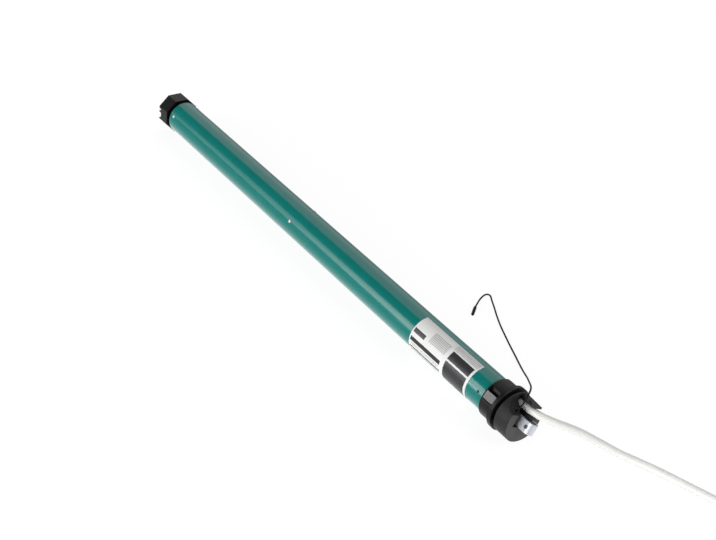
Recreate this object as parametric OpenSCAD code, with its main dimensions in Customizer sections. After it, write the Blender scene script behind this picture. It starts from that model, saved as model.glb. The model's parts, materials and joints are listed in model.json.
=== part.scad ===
// Tubular roller blind motor: a green steel tube with a black drive wheel at one end,
// and a head with a free crown ring, a steel bracket, a mains cable and a wire antenna at the other.
// X runs along the tube towards the head, Z is up, and the origin is under the middle, on the floor.

/* [Motor tube] */
// Outside diameter of the tube
tube_od = 35; // [34:0.5:38]
// Wall of the tube
tube_wall = 0.8; // [0.6:0.1:1.2]
// Length of the tube
tube_l = 541; // [520:1:640]
// Diameter of the rivet and screw holes in the tube
rivet_d = 2.4; // [2:0.1:3]
// Angle of the row of fixings round the tube
fixing_angle = 147; // [120:1:170]

/* [Rating label] */
// Length of the label along the tube
label_l = 80; // [40:1:100]
// Distance from the label to the head end of the tube
label_gap = 20; // [12:1:40]
// Angle that the label wraps
label_wrap = 157; // [60:1:300]

/* [Drive wheel] */
// Width of the octagon across its flats
wheel_af = 36.4; // [35:0.1:42]
// Length of the drive wheel
wheel_l = 16.5; // [15:0.1:30]
// Wall of the drive wheel
wheel_wall = 2.2; // [1.6:0.1:3]
// Depth of the notches in the outer rim
notch_depth = 3.6; // [2:0.1:4.5]
// Width of the wide notch in the outer rim
notch_w = 6.8; // [4:0.1:7]
// Width of the narrow notch beside it
slot_w = 2.8; // [1.5:0.1:3.5]
// Turn of the octagon's first corner
wheel_turn = 14.5; // [0:0.5:45]
// Hexagon of the output shaft across its flats
hex_af = 11; // [9:0.1:13]

/* [Crown ring] */
// Diameter of the body that the blind tube slides over
crown_body_d = 38; // [36:0.1:42]
// Length of that body
crown_body_l = 14; // [8:0.1:16]
// Diameter of the flange that stops the blind tube
crown_flange_d = 43; // [40:0.1:46]
// Length of the flange
crown_flange_l = 4.4; // [3:0.1:12]
// Wall of the crown's body
crown_wall = 2.6; // [1.6:0.1:2.6]
// Width of the snap tab
tab_w = 7.2; // [4:0.1:8]
// Height of the snap tab over the body
tab_rise = 0.9; // [0.4:0.1:1.5]

/* [Head] */
// Diameter of the nose
nose_d = 40; // [38:0.1:41]
// Length of the nose
nose_l = 15.6; // [14:0.1:22]
// Width of the dark groove between the crown and the nose
neck_l = 2.8; // [1:0.1:4]
// Depth of that groove
neck_depth = 3; // [0.6:0.1:3.2]
// Length of the head inside the tube
spigot_l = 24; // [16:1:40]
// Height of the flat under the cable, from the tube's axis
flat_h = 5.6; // [5.2:0.1:7]
// Angle of the cable's side round the axis
head_turn = 56; // [40:1:70]

/* [Bracket] */
// Width of the bracket strip
bracket_w = 10; // [8:0.1:10]
// Height over both legs of the bracket
bracket_h = 10; // [8:0.1:12]
// Thickness of the strip
bracket_t = 1.5; // [1:0.1:2.5]
// How far the bracket stands out of the nose
bracket_out = 12.4; // [10:0.1:16]
// Cotter hole through both legs
cotter_d = 4; // [3:0.1:5]
// Distance from the cotter hole to the bracket's end
cotter_in = 6.2; // [5.5:0.1:8]

/* [Cords] */
// Diameter of the mains cable
cable_d = 7; // [6:0.1:7.2]
// Distance of the cable from the tube's axis
cable_h = 12; // [11.5:0.1:12.5]
// Diameter of the antenna wire
antenna_d = 1.6; // [1:0.1:2]

/* [Motor] */
// Length of the stator stack
stator_l = 110; // [60:1:120]
// Diameter of the rotor
rotor_d = 17.8; // [15:0.1:19]
// Diameter of the rotor shaft
shaft_d = 6; // [5:0.1:7]
// Air gap between the rotor and the stator
air_gap = 0.3; // [0.2:0.05:0.6]
// Travel of the brake plate when the motor is switched on
brake_travel = 0.5; // [0.3:0.1:0.8]

/* [Gearbox] */
// Wall of the ring gear outside its teeth
ring_wall = 2.4; // [1.6:0.1:3]
// Width of the first planets
stage1_w = 8; // [6:0.5:10]
// Width of the second planets
stage2_w = 10; // [8:0.5:12]
// Width of the third planets
stage3_w = 13; // [10:0.5:16]
// Thickness of the carrier plates
carrier_t = 3.6; // [2.5:0.1:5]
// Diameter of the output shaft
output_d = 14; // [12:0.5:16]
// Length of the output bearing inside the tube
bearing_l = 18; // [14:1:24]

/* [Electronics] */
// Width of the control board
board_w = 26; // [22:0.5:27]
// Diameter of the run capacitor
capacitor_d = 25; // [20:0.5:27]
// Length of the run capacitor
capacitor_l = 55; // [40:1:65]

/* [Hidden] */
$fn = 64;

// Clearances: to slide in, to run, to pass, to seat, to let the crown turn, and to lie on the tube
slip = 0.15;
run_fit = 0.04;
pass_gap = 0.4;
seat_gap = 0.05;
crown_play = 0.2;
skin_gap = 0.02;
// A cut goes this far past the face that it opens
past = 1;

// Radii of the tube and of what slides into it, and the height of the axis
tube_r = tube_od / 2;
bore_r = tube_r - tube_wall;
core_r = bore_r - slip;
axis_h = crown_flange_d / 2;

// Lengths along the axis
end_flange_t = 1.2;
bearing_out = end_flange_t + 3.1;
wheel_gap = 0.6;
drive_end_l = wheel_l + wheel_gap + bearing_out;
crown_l = crown_body_l + crown_flange_l;
nose_from = crown_l + 2 * pass_gap + neck_l;
nose_to = nose_from + nose_l;
total_l = drive_end_l + tube_l + nose_to + bracket_out;
drive_x = drive_end_l - total_l / 2;
head_x = drive_x + tube_l;

// Fixings: three in each row
fixings = 3;
fixing_in = 6;
rivet_grip = 4;
screw_sink = 0.25;

// Gear teeth: three planets fit where the sun's and the ring's teeth together divide by three
planets = 3;
sun_z = 12;
planet_z = 21;
ring_z = sun_z + 2 * planet_z;
addendum = 0.8;
dedendum = 1.1;
pressure = 20;
backlash = 0.16;
gear_m = 2 * (core_r - ring_wall) / (ring_z + 2 * dedendum);
orbit_r = gear_m * (sun_z + planet_z) / 2;
pin_r = 3 * gear_m;
carrier_r = gear_m * (ring_z / 2 - addendum) - 0.5;
planet_gap = 0.4;
stage_gap = 0.8;

// Places along the axis, from the output bearing to the rear shield
ring_from = drive_x + bearing_l + 1;
carrier3_x = ring_from + stage_gap;
planets3_x = carrier3_x + carrier_t + planet_gap;
carrier2_x = planets3_x + stage3_w + stage_gap;
planets2_x = carrier2_x + carrier_t + planet_gap;
carrier1_x = planets2_x + stage2_w + stage_gap;
planets1_x = carrier1_x + carrier_t + planet_gap;
ring_to = planets1_x + stage1_w + 1.2;
brake_plate_t = 3;
brake_disc_t = 3;
armature_t = 2.5;
magnet_l = 15;
disc_x = ring_to + brake_plate_t + pass_gap;
armature_x = disc_x + brake_disc_t + pass_gap;
magnet_x = armature_x + armature_t + brake_travel + 0.3;
shield_t = 8;
front_shield_x = magnet_x + magnet_l + 1;
winding_l = 11.5;
winding_gap = 0.6;
stator_x = front_shield_x + shield_t + winding_l + 2 * winding_gap;
rear_shield_t = 10;
rear_shield_x = stator_x + stator_l + winding_l + 2 * winding_gap;
encoder_x = rear_shield_x + rear_shield_t + 0.6;
encoder_t = 4;

// Radii inside the motor
rotor_r = rotor_d / 2;
shaft_r = shaft_d / 2;
bush_r = shaft_r + 2;
sun_bore_r = gear_m * (sun_z / 2 - dedendum) - 0.9;
winding_in = rotor_r + air_gap + 1.2;
winding_out = core_r - 0.6;
brake_r = core_r - 4;
spring_r = 7;
spring_wire_r = 0.6;
spring_curls = 5;
curl_steps = 16;
spring_pocket_l = 11;
lead_hole_r = 1.5;

// Electronics
tray_t = 1.2;
tray_in = core_r - tray_t;
board_t = 1.6;
board_drop = 4;
tray_gap = 4;
capacitor_gap = 6;
board_end = 2;
tray_x = encoder_x + encoder_t + tray_gap;
tray_to = head_x - spigot_l - tray_gap;
board_x = tray_x + capacitor_l + 2 * capacitor_gap;
board_l = tray_to - board_end - board_x;
relay_in = 14;
relay_size = [19, 10, 12];
relay_pitch = 24;
radio_size = [26, 14, 4];
radio_in = 8;

// Head, in its own turned frame: first the cable's side, then across it, then along the axis
collar_r = crown_body_d / 2 - crown_wall - crown_play;
collar_wall = 3.2;
hollow_r = collar_r - collar_wall;
nose_r = nose_d / 2;
neck_r = nose_r - neck_depth;
nose_bevel = 0.8;
ramp_from = nose_from + 2;
ramp_to = nose_to - 5;
ramp_h = nose_r - 6;
plug_face = nose_from + 1.5;
plug_t = 2.6;
plug_in = 6.1;
plug_out = nose_r - 2.7;
plug_w = 9.6;
channel_w = plug_w + 0.8;
arm_w = 7;
arm_fit = cable_d / 2 + 0.2;
lower_arm_out = 6.2;
upper_arm_out = 5.4;
leg_l = 12;
pin_in = 7;
leg_in = nose_to - leg_l;
pin_x = nose_to - pin_in;
bracket_pin_r = 1.5;
antenna_hole = [6.5, 10];
lead_way_r = 2.5;
lead_way_l = 6;
recess_depth = 4;
recess_out = 12;
recess_side = 0.6;
dimple_r = 0.8;
dimple_l = 1.5;
dimple_at = [-3, 1.8];
dimple_out = 8.6;
fold_w = 0.5;
fold_depth = 0.3;
fold_in = 0.9;

// Drive wheel
wheel_sides = 8;
wheel_r = wheel_af / 2 / cos(180 / wheel_sides);
wheel_x = drive_x - drive_end_l;
hub_r = hex_af / 2 / cos(30) + 2.6;
web_t = 3;
web_in = 5;
rib_t = 1.6;
notched_flats = [3, 7];
notch_from = -0.4;
fin_t = 1.6;
screw_r = 2;
screw_head_r = 4.2;
screw_head_l = 2.4;
screw_l = 16;
screw_hole_l = 14;
washer_r = hex_af / 2 + 1.4;
washer_t = 1.2;

// Route of the mains cable: along X from the tube's head end, then Y, then height over the floor
cable_route = [[26, 6.7, axis_h + 10], [32, 6.7, axis_h + 10], [38, 7, axis_h + 10],
    [46, 9.5, axis_h + 9], [53, 13.5, axis_h + 7.5], [58.5, 18, axis_h + 5.5], [65, 24.5, axis_h + 2.5],
    [71.5, 31.5, axis_h - 1.5], [79, 38.5, axis_h - 6.5], [88, 46, 9.5], [99, 53, 5.2],
    [113, 60, 3.6], [132, 67, 3.5], [156, 74.5, 3.5], [180, 82, 3.5], [202, 89, 3.5],
    [222, 95, 4.5], [242, 101, 7.5], [258, 105.5, 11]];
cable_step = 14;
cable_sides = 10;

// Coil of the length that is put away: two layers that spiral in and out again
coil_centre = [282, 58.5];
coil_r = 48.5;
coil_pitch = cable_d + 1.7;
layer_turns = 2.25;
climb_turns = 0.5;
loop_rings = 24;
coil_sides = 6;
coil_low = cable_d / 2 + 1.3;
coil_high = coil_low + cable_d + 1.1;
coil_lead = cable_d;
coil_tail = 45;

// Tie round the coil
tie_w = 3;
tie_t = 1;
tie_box = [25, 48.2, 1.1, coil_high + cable_d / 2 + 0.3];
tie_round = 3;
tie_head = [5, 4, 5];

// Stripped ends of the three conductors
conductor_r = 1.2;
conductor_l = 34;
conductor_ring = 1.9;
conductor_fan = 8;
ferrule_r = 0.9;
ferrule_l = 8;

// Route of the antenna, measured like the cable's
antenna_low = antenna_d / 2 + 0.1;
antenna_route = [[32, -4.3, axis_h + 11.7], [33, -2.6, axis_h + 14.1], [33, 0.4, axis_h + 16.5],
    [32.4, 3.4, axis_h + 18.5], [31.2, 6.6, axis_h + 20.1], [29.4, 10, axis_h + 21.1],
    [26.3, 14.4, axis_h + 20.3], [20.5, 20.2, axis_h + 16.3], [13, 26.4, axis_h + 10.5],
    [3.5, 33.6, axis_h + 3], [-6.5, 41, axis_h - 4.5], [-18, 48.5, 9.3], [-31, 56, 2.9],
    [-47, 63, antenna_low], [-62, 68.6, antenna_low],
    [-75, 73.7, antenna_low], [-88, 79, antenna_low], [-101, 85.2, antenna_low], [-112, 91, antenna_low],
    [-121, 95.5, antenna_low], [-127, 98.6, antenna_low], [-130.5, 97.6, antenna_low],
    [-130.8, 93.5, antenna_low + 0.1], [-128.5, 87.5, antenna_low + 0.3], [-125, 81.5, 1.5],
    [-121.5, 76, 1.6]];
antenna_step = 3.6;
antenna_sides = 8;
tip_r = 1.5;
tip_l = 12;
tip_dir = [0.62, -0.78, 0];

// Moves a piece onto the axis: its own X then points to the given angle, and its Z along the tube
module on_axis(x, turn = 0) {
    translate([x, 0, axis_h]) rotate([90, 0, 90]) rotate([0, 0, turn]) children();
}

// A plain disc or bar along the axis
module rod(r, x, l) {
    on_axis(x) cylinder(r = r, h = l);
}

// The pieces of one row of fixings, each pointing outwards
module fixing_row(x) {
    for (i = [0 : fixings - 1])
        on_axis(x, fixing_angle + i * 360 / fixings) rotate([0, 90, 0]) children();
}

// Rows of holes for the rivets and the head's screws
module fixing_holes(from_r) {
    for (x = [drive_x + fixing_in, rear_shield_x + rear_shield_t / 2, head_x - fixing_in])
        fixing_row(x) translate([0, 0, from_r]) cylinder(d = rivet_d + 2 * seat_gap, h = tube_r);
}

// Points of a path, and a closed tube round them
function unit(v) = v / norm(v);
function along(p, i) = unit(p[min(i + 1, len(p) - 1)] - p[max(i - 1, 0)]);
function ring(p, i, r, sides, ref) =
    let (t = along(p, i), s = unit(cross(ref, t)), w = cross(t, s))
    [for (k = [0 : sides - 1]) p[i] + r * (cos(360 * k / sides) * s + sin(360 * k / sides) * w)];
function spline(a, b, c, d, t) =
    0.5 * (2 * b + (c - a) * t + (2 * a - 5 * b + 4 * c - d) * t * t + (3 * b - a - 3 * c + d) * t * t * t);
function smooth(p, step) = concat(
    [for (i = [0 : len(p) - 2])
        let (a = p[max(i - 1, 0)], d = p[min(i + 2, len(p) - 1)])
        let (n = max(1, round(norm(p[i + 1] - p[i]) / step)))
        for (k = [0 : n - 1]) spline(a, p[i], p[i + 1], d, k / n)],
    [p[len(p) - 1]]);
function path_l(p) = norm([for (i = [1 : len(p) - 1]) sqrt(norm(p[i] - p[i - 1]))]) ^ 2;

module tube_along(p, r, sides, ref = [0, 0, 1]) {
    rings = len(p);
    points = [for (i = [0 : rings - 1]) each ring(p, i, r, sides, ref)];
    walls = [for (i = [0 : rings - 2], k = [0 : sides - 1])
        let (a = i * sides + k, b = i * sides + (k + 1) % sides)
        each [[a, a + sides, b], [b, a + sides, b + sides]]];
    first = [for (k = [1 : sides - 2]) [0, k, k + 1]];
    last_at = (rings - 1) * sides;
    last = [for (k = [1 : sides - 2]) [last_at, last_at + k + 1, last_at + k]];
    polyhedron(points, concat(walls, first, last));
}

// A route that is measured from the tube's head end
function from_head(p) = [for (q = p) q + [head_x, 0, 0]];

// Gear outlines: straight steps between the root, the pitch circle and the tip of an involute tooth
function involute(r, base) = r <= base ? 0 : sqrt((r / base) ^ 2 - 1) * 180 / PI - acos(base / r);
function tooth_half(r, z, thick) =
    let (pitch_r = gear_m * z / 2, base = pitch_r * cos(pressure))
    90 / z + thick / pitch_r * 90 / PI + involute(pitch_r, base) - involute(r, base);
function polar(r, a) = [r * cos(a), r * sin(a)];
function gear_points(z, root, tip, thick) =
    let (radii = [root, gear_m * z / 2, tip])
    [for (i = [0 : z - 1], side = [-1, 1], n = [0 : 2])
        let (r = radii[side < 0 ? n : 2 - n])
        polar(r, 360 / z * i + side * tooth_half(r, z, thick))];

module gear(z) {
    polygon(gear_points(z, gear_m * (z / 2 - dedendum), gear_m * (z / 2 + addendum), -backlash / 2));
}

module ring_teeth() {
    inner = gear_m * (ring_z / 2 - addendum);
    outer = gear_m * (ring_z / 2 + dedendum);
    polygon(gear_points(ring_z, inner, outer, backlash / 2));
}

// One planet at its place round the sun, turned so that it meshes with the sun and the ring
module planet(i, x, w) {
    turn = 360 / planets * i;
    color("gainsboro") on_axis(x) rotate([0, 0, turn]) translate([orbit_r, 0, 0])
        rotate([0, 0, turn * sun_z / planet_z]) linear_extrude(w) difference() {
            gear(planet_z);
            circle(r = pin_r + run_fit);
        }
}

// Pins of a carrier, on the side of its planets
module planet_pins(x, w) {
    for (i = [0 : planets - 1])
        on_axis(x, 360 / planets * i) translate([orbit_r, 0, 0])
            cylinder(r = pin_r, h = carrier_t + planet_gap + w);
}

// A carrier with the sun of the next stage on its other side
module carrier(x, w, sun_w) {
    rod(carrier_r, x, carrier_t);
    planet_pins(x, w);
    on_axis(x - sun_w - planet_gap) linear_extrude(sun_w + planet_gap + carrier_t / 2) gear(sun_z);
}

module motor_tube() {
    color("teal") difference() {
        rod(tube_r, drive_x, tube_l);
        rod(bore_r, drive_x - past, tube_l + 2 * past);
        fixing_holes(0);
    }
}

// Domed rivets at the drive end and at the rear shield
module rivet() {
    head_r = 0.75 * rivet_d;
    head_h = 0.25 * rivet_d;
    translate([0, 0, tube_r - rivet_grip]) cylinder(d = rivet_d, h = rivet_grip + 0.1);
    translate([0, 0, tube_r + skin_gap]) rotate_extrude() polygon(concat([[0, 0]],
        [for (a = [0 : 15 : 90]) [head_r * cos(a), head_h * sin(a)]]));
}

module tube_rivets() {
    color("silver") for (x = [drive_x + fixing_in, rear_shield_x + rear_shield_t / 2]) fixing_row(x) rivet();
}

// Screws sunk a little below the tube's surface
module head_screws() {
    socket_depth = 0.6;
    color("black") fixing_row(head_x - fixing_in) difference() {
        translate([0, 0, tube_r - rivet_grip]) cylinder(d = rivet_d, h = rivet_grip - screw_sink);
        translate([0, 0, tube_r - screw_sink - socket_depth]) cylinder(d = rivet_d / 2, h = past, $fn = 6);
    }
}

module rating_label() {
    label_t = 0.12;
    label_angle = 80;
    color("white") on_axis(head_x - label_gap - label_l, label_angle) rotate_extrude(angle = label_wrap)
        translate([tube_r + skin_gap, 0]) square([label_t, label_l]);
}

// Head: spigot, collar under the crown, groove, and a nose that is cut away at the cable and the bracket
module head_body() {
    leg_h = (bracket_h - bracket_t) / 2;
    color("dimgray") on_axis(head_x, head_turn) difference() {
        rotate_extrude() polygon([[hollow_r, -spigot_l], [core_r, -spigot_l], [core_r, 0], [collar_r, 0],
            [collar_r, crown_l + 2 * pass_gap], [neck_r, crown_l + 2 * pass_gap], [neck_r, nose_from],
            [nose_r, nose_from], [nose_r, nose_to - nose_bevel], [nose_r - nose_bevel, nose_to],
            [0, nose_to], [0, nose_from - neck_l - 2], [hollow_r, nose_from - neck_l - 2]]);
        translate([0, nose_r + past, 0]) rotate([90, 0, 0]) linear_extrude(2 * nose_r + 2 * past)
            polygon([[nose_r + past, ramp_from], [ramp_h, ramp_from], [flat_h, ramp_to],
                [flat_h, nose_to + past], [nose_r + past, nose_to + past]]);
        translate([flat_h, -channel_w / 2, plug_face]) cube([nose_r, channel_w, nose_l]);
        translate([plug_in - seat_gap, -plug_w / 2 - seat_gap, plug_face - plug_t - seat_gap])
            cube([plug_out - plug_in + 2 * seat_gap, plug_w + 2 * seat_gap, plug_t + past]);
        translate([cable_h - 2, 0, plug_face - plug_t + past - lead_way_l])
            cylinder(r = lead_way_r, h = lead_way_l);
        for (middle = [-leg_h, leg_h])
            translate([-bracket_w / 2, middle - bracket_t / 2, leg_in] - [1, 1, 1] * seat_gap)
                cube([bracket_w + 2 * seat_gap, bracket_t + 2 * seat_gap, nose_l]);
        translate([0, bracket_h / 2 + 2, pin_x]) rotate([90, 0, 0])
            cylinder(r = bracket_pin_r + seat_gap, h = 2 * nose_r);
        translate([antenna_hole[0], antenna_hole[1], 0]) cylinder(r = antenna_d / 2 + slip, h = nose_to);
        translate([-bracket_w / 2 - recess_side, bracket_h / 2 - bracket_t, nose_to - recess_depth])
            cube([nose_r, recess_out - bracket_h / 2 + bracket_t, recess_depth + past]);
        for (u = dimple_at)
            translate([u, dimple_out, nose_to - recess_depth - dimple_l])
                cylinder(r = dimple_r, h = dimple_l + past);
        for (i = [0 : fixings - 1])
            rotate([0, 0, fixing_angle - head_turn + i * 360 / fixings]) translate([0, 0, -fixing_in])
                rotate([0, 90, 0]) cylinder(d = rivet_d + 2 * seat_gap, h = tube_r);
    }
}

// Crown: a body that the blind tube slides over, a stop flange, and two snap tabs cut free on three sides
module crown_ring() {
    window_x = 1.6;
    window_to = crown_body_l + 1;
    free_end = 0.6;
    slot_wide = 5;
    slot_narrow = 1;
    tab_angle = 136;
    tab_root = 0.5;
    bevel = 0.4;
    body_r = crown_body_d / 2;
    flange_r = crown_flange_d / 2;
    inner_r = body_r - crown_wall;
    color("black") on_axis(head_x + pass_gap) {
        difference() {
            rotate_extrude() polygon([[inner_r, 0], [body_r - bevel, 0], [body_r, bevel],
                [body_r, crown_body_l], [flange_r, crown_body_l], [flange_r, crown_l - bevel],
                [flange_r - bevel, crown_l], [inner_r, crown_l]]);
            for (turn = [0, 180]) rotate([0, 0, tab_angle + turn])
                translate([inner_r - past, -tab_w / 2 - slot_wide, window_x])
                    cube([flange_r, slot_wide + tab_w + slot_narrow, window_to - window_x]);
        }
        for (turn = [0, 180]) rotate([0, 0, tab_angle + turn])
            translate([body_r - crown_wall / 2, -tab_w / 2, window_x + free_end])
                cube([crown_wall / 2 + tab_rise, tab_w, window_to + tab_root - window_x - free_end]);
    }
}

// Bracket: a steel strip bent to a U, with a cotter hole through both legs and a scored line across each
module mounting_bracket() {
    outer = bracket_h / 2;
    inner = outer - bracket_t;
    bend_x = nose_to + bracket_out - outer;
    color("silver") on_axis(head_x, head_turn) difference() {
        translate([bracket_w / 2, 0, 0]) rotate([0, -90, 0]) linear_extrude(bracket_w) difference() {
            union() {
                translate([leg_in, -outer]) square([bend_x - leg_in, 2 * outer]);
                translate([bend_x, 0]) circle(r = outer);
            }
            translate([leg_in - past, -inner]) square([bend_x - leg_in + past, 2 * inner]);
            translate([bend_x, 0]) circle(r = inner);
        }
        for (side = [-1, 1]) translate([-bracket_w, side * outer - fold_depth, nose_to - fold_in])
            cube([2 * bracket_w, 2 * fold_depth, fold_w]);
        translate([0, 0, nose_to + bracket_out - cotter_in]) rotate([90, 0, 0])
            cylinder(d = cotter_d, h = 2 * bracket_h, center = true);
        translate([0, 0, pin_x]) rotate([90, 0, 0])
            cylinder(r = bracket_pin_r + seat_gap, h = 2 * bracket_h, center = true);
    }
}

// Pin through the nose and both legs, pushed in from the underside
module bracket_pin() {
    pin_to = bracket_h / 2 + 1.5;
    color("silver") on_axis(head_x, head_turn) translate([0, pin_to, pin_x]) rotate([90, 0, 0])
        cylinder(r = bracket_pin_r, h = pin_to + nose_r - 2);
}

// Plug of the cable: a plate in the nose with a latch arm on each side of the cable
module cable_plug() {
    low = cable_h - arm_fit;
    high = cable_h + arm_fit;
    foot = 0.5;
    lift = 0.3;
    low_end = nose_to + lower_arm_out;
    high_end = nose_to + upper_arm_out;
    color("black") on_axis(head_x, head_turn) {
        translate([plug_in, -plug_w / 2, plug_face - plug_t]) cube([plug_out - plug_in, plug_w, plug_t]);
        translate([0, arm_w / 2, 0]) rotate([90, 0, 0]) linear_extrude(arm_w) {
            polygon([[plug_in, plug_face - foot], [low, plug_face - foot], [low - 0.2, low_end],
                [flat_h + lift + foot, low_end], [flat_h + lift, nose_to], [flat_h + lift, plug_face + 2],
                [plug_in, plug_face + foot]]);
            polygon([[high, plug_face - foot], [plug_out, plug_face - foot], [plug_out, plug_face + foot],
                [nose_r - 0.2, plug_face + 5], [nose_r - 1, high_end], [nose_r - 2.6, high_end],
                [high, nose_to - 6]]);
        }
    }
}

// Free stretch of the mains cable, from the plug to the coil
function cable_path() =
    let (end = coil_path()[0] - [2 * seat_gap, 0, 0])
    concat(smooth(concat([[head_x + plug_face + seat_gap, cable_route[0][1], cable_route[0][2]]],
        from_head(cable_route), [end - [cable_d, 0, 0]]), cable_step), [end]);

module mains_cable() {
    color("whitesmoke") tube_along(cable_path(), cable_d / 2, cable_sides);
}

// Coil: in on the upper layer, down a layer in the half turn where it reverses, and out on the floor
function coil_at(t) =
    let (s = min(max((t - layer_turns) / climb_turns, 0), 1),
        r = coil_r - coil_pitch * (t < layer_turns ? t : layer_turns - max(0, t - layer_turns - climb_turns)),
        z = coil_high + (coil_low - coil_high) * (1 - cos(180 * s)) / 2)
    [head_x + coil_centre[0] + r * sin(360 * t), coil_centre[1] + r * cos(360 * t), z];
function coil_path() =
    let (turns = 2 * layer_turns + climb_turns,
        loops = [for (n = [0 : turns * loop_rings]) coil_at(n / loop_rings)])
    concat([loops[0] - [coil_lead, 0, 0]], loops, [loops[len(loops) - 1] + [coil_tail, 0, 0]]);
// Least distance between points of the coil that are half a loop or more apart
function coil_gap(p) =
    let (last = len(p) - 2)
    min([for (i = [1 : last], j = [i + loop_rings / 2 : 1 : last]) norm(p[i] - p[j])]) - cable_d;

module cable_coil() {
    path = coil_path();
    echo(str("coil: least gap to itself ", coil_gap(path), " mm, length ", path_l(path), " mm"));
    echo(str("cable: free length ", path_l(cable_path()), " mm"));
    color("whitesmoke") tube_along(path, cable_d / 2, coil_sides);
}

// Tie: a flat strap round all the turns, with its lock on the outside
module coil_tie() {
    lock_h = (tie_box[2] + tie_box[3] - tie_head[1]) / 2;
    color("black") translate([head_x + coil_centre[0], coil_centre[1], 0]) rotate([90, 0, -90])
        translate([0, 0, -tie_w / 2]) {
            linear_extrude(tie_w) difference() {
                strap(tie_t);
                strap(0);
            }
            translate([tie_box[1] + tie_t / 2, lock_h, (tie_w - tie_head[2]) / 2]) cube(tie_head);
        }
}

module strap(grow) {
    across = [tie_box[0] + tie_round, tie_box[1] - tie_round];
    upright = [tie_box[2] + tie_round, tie_box[3] - tie_round];
    hull() for (x = across, y = upright)
        translate([x, y]) circle(r = tie_round + grow, $fn = 32);
}

// One conductor: it leaves the sheath, comes down to the floor and ends in a ferrule
module conductor(i, shade) {
    from = coil_path()[len(coil_path()) - 1] + [4 * seat_gap, 0, 0];
    a = 90 + 120 * i;
    side = cos(a) * conductor_ring;
    rise = sin(a) * conductor_ring;
    floor_z = conductor_r + 0.1 - coil_low;
    end_y = side + (i == 0 ? 0 : i == 1 ? -conductor_fan : conductor_fan);
    bends = [[0, side, rise], [6, side, rise], [14, (side + end_y) / 2, -1.2], [22, end_y, floor_z],
        [conductor_l, end_y, floor_z]];
    path = [for (q = bends) from + q];
    color(shade) {
        tube_along(smooth(path, 3), conductor_r, antenna_sides);
        translate(path[len(path) - 1]) rotate([0, 90, 0]) cylinder(r = ferrule_r, h = ferrule_l);
    }
}

module conductor_live() conductor(0, "saddlebrown");
module conductor_neutral() conductor(1, "royalblue");
module conductor_earth() conductor(2, "yellowgreen");

module antenna_wire() {
    u = antenna_hole[0];
    v = antenna_hole[1];
    y = u * cos(head_turn) - v * sin(head_turn);
    z = axis_h + u * sin(head_turn) + v * cos(head_turn);
    in_hole = [[nose_from, y, z], [ramp_to - 2, y, z]];
    path = smooth(from_head(concat(in_hole, antenna_route)), antenna_step);
    echo(str("antenna: length ", path_l(path), " mm"));
    color("black") tube_along(path, antenna_d / 2, antenna_sides);
}

// Shrunk cap on the antenna's end
module antenna_tip() {
    at = from_head(antenna_route)[len(antenna_route) - 1];
    color("black") translate(at + seat_gap * tip_dir) rotate([0, 90, atan2(tip_dir[1], tip_dir[0])]) {
        cylinder(r = tip_r, h = tip_l - 1);
        translate([0, 0, tip_l - 1]) cylinder(r1 = tip_r, r2 = tip_r - 0.5, h = 1);
    }
}

// Tray: half a sleeve with two rails that carry the board
module board_tray() {
    rail_w = 2;
    rail_top = axis_h - board_drop - board_t / 2;
    l = tray_to - tray_x;
    color("ivory") difference() {
        union() {
            difference() {
                rod(core_r, tray_x, l);
                rod(tray_in, tray_x - past, l + 2 * past);
            }
            intersection() {
                rod(core_r - tray_t / 2, board_x, board_l);
                for (side = [-1, 1]) translate([board_x, side * (board_w / 2 - rail_w / 2) - rail_w / 2, 0])
                    cube([board_l, rail_w, rail_top]);
            }
        }
        translate([tray_x - past, -tube_od, rail_top]) cube([l + 2 * past, 2 * tube_od, 2 * tube_od]);
    }
}

module control_board() {
    color("darkgreen") translate([board_x, -board_w / 2, axis_h - board_drop - board_t / 2 + seat_gap])
        cube([board_l, board_w, board_t]);
}

// A piece that stands on the board
module on_board(from_end, size) {
    top = axis_h - board_drop + board_t / 2 + 2 * seat_gap;
    translate([board_x + from_end, -size[1] / 2, top]) cube(size);
}

module power_relays() {
    color("royalblue") for (i = [0, 1]) on_board(relay_in + i * relay_pitch, relay_size);
}

module radio_module() {
    color("seagreen") on_board(board_l - radio_size[0] - radio_in, radio_size);
}

// Capacitor: a can that lies in the tray
module run_capacitor() {
    drop = tray_in - capacitor_d / 2 - seat_gap;
    color("gainsboro") translate([0, 0, -drop]) {
        rod(capacitor_d / 2, tray_x + capacitor_gap, capacitor_l);
        rod(capacitor_d / 4, tray_x + capacitor_gap + capacitor_l - 0.5, 3);
    }
}

// Stator stack with slots round its bore
module stator_core() {
    slots = 12;
    slot_w = 2.4;
    slot_in = rotor_r + air_gap + 0.8;
    slot_out = core_r - 2.2;
    color("dimgray") on_axis(stator_x) linear_extrude(stator_l) difference() {
        circle(r = core_r);
        circle(r = rotor_r + air_gap);
        for (i = [0 : slots - 1]) rotate(i * 360 / slots)
            translate([slot_in, -slot_w / 2]) square([slot_out - slot_in, slot_w]);
    }
}

// Overhang of the windings at both ends of the stack
module stator_windings() {
    color("peru") for (x = [stator_x - winding_l - winding_gap, stator_x + stator_l + winding_gap])
        on_axis(x) rotate_extrude() polygon([[winding_in, 1], [winding_in + 1, 0], [winding_out - 1.5, 0],
            [winding_out, 2], [winding_out, winding_l - 2], [winding_out - 1.5, winding_l],
            [winding_in + 1, winding_l], [winding_in, winding_l - 1]]);
}

// Rotor: steel core with a cast ring at each end
module rotor_core() {
    end_ring = 4;
    color("silver") difference() {
        union() {
            rod(rotor_r, stator_x, stator_l);
            rod(rotor_r - 0.8, stator_x - end_ring, stator_l + 2 * end_ring);
        }
        rod(shaft_r + seat_gap, stator_x - 2 * end_ring, stator_l + 4 * end_ring);
    }
}

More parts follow.
